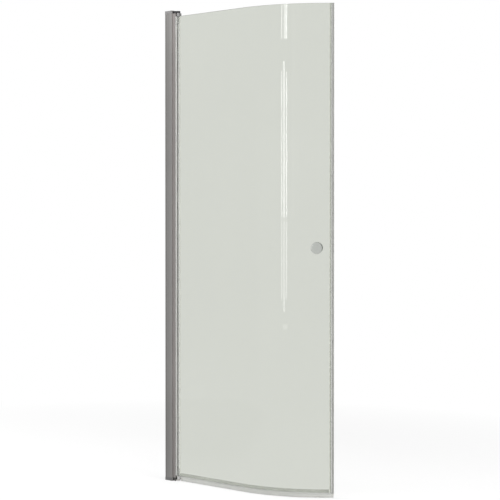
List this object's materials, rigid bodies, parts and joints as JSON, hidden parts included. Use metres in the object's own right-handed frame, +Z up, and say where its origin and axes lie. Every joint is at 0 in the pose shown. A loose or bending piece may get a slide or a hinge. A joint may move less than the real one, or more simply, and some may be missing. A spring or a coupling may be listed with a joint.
{
  "type": "pivot shower door",
  "caption": "Tall bowed glass pivot door with wall profile, top and bottom pivots, clear edge seals and round knob, one half of a round-corner shower.",
  "frame": {"origin": "on the wall face of the wall channel, at its foot, on the middle plane of the straight glass", "axes": "+X out of the wall along the straight part of the glass, +Y towards the wet side, +Z up"},
  "size_m": [0.7475, 0.1587, 1.9],
  "materials": {
    "channel_aluminium": "satin anodised",
    "jamb_aluminium": "satin anodised",
    "grey_cap_plastic": "fine moulded texture",
    "dark_gasket_rubber": "matt",
    "black_nylon": "fine moulded texture",
    "stainless_steel": "brushed",
    "screw_steel": "bright",
    "satin_zinc": "satin plated",
    "white_acetal": "smooth",
    "clear_glass": "clear, toughened",
    "rigid_clear_seal": "clear extrusion",
    "soft_clear_seal": "soft clear extrusion",
    "magnet_rubber": "matt",
    "satin_knob_metal": "satin",
    "washer_plastic": "clear"
  },
  "bodies": {
    "wall_profile": {"wall_channel": "channel_aluminium", "channel_top_cap": "grey_cap_plastic", "channel_foot_cap": "grey_cap_plastic", "outer_gasket": "dark_gasket_rubber", "inner_gasket": "dark_gasket_rubber"},
    "jamb": {"jamb_profile": "jamb_aluminium", "cup_seal": "soft_clear_seal", "top_bracket": "black_nylon", "bottom_bracket": "black_nylon", "bottom_hinge_plate": "stainless_steel", "hinge_plate_screws": "screw_steel", "bracket_screws": "screw_steel", "top_pivot_pin": "stainless_steel", "bottom_pivot_pin": "stainless_steel", "thrust_washer": "stainless_steel", "lock_screws": "screw_steel", "lock_washers": "screw_steel", "screw_covers": "grey_cap_plastic"},
    "door": {"glass_pane": "clear_glass", "hinge_profile": "rigid_clear_seal", "top_end_fitting": "satin_zinc", "bottom_end_fitting": "satin_zinc", "top_bush": "white_acetal", "bottom_bush": "white_acetal", "sweep_clip": "rigid_clear_seal", "drip_fin": "soft_clear_seal", "closing_clip": "rigid_clear_seal", "magnet_strip": "magnet_rubber", "outer_knob": "satin_knob_metal", "inner_knob": "satin_knob_metal", "outer_knob_washer": "washer_plastic", "inner_knob_washer": "washer_plastic", "knob_sleeve": "washer_plastic", "knob_stud": "screw_steel"}
  },
  "joints": [
    {"name": "width_adjust", "type": "slide", "parent": "wall_profile", "child": "jamb", "axis": [1, 0, 0], "range_m": [-0.0075, 0.0075]},
    {"name": "door_pivot", "type": "hinge", "parent": "jamb", "child": "door", "pos_m": [0.061, 0, 0.95], "axis": [0, 0, 1], "range_deg": [-90, 75]}
  ]
}
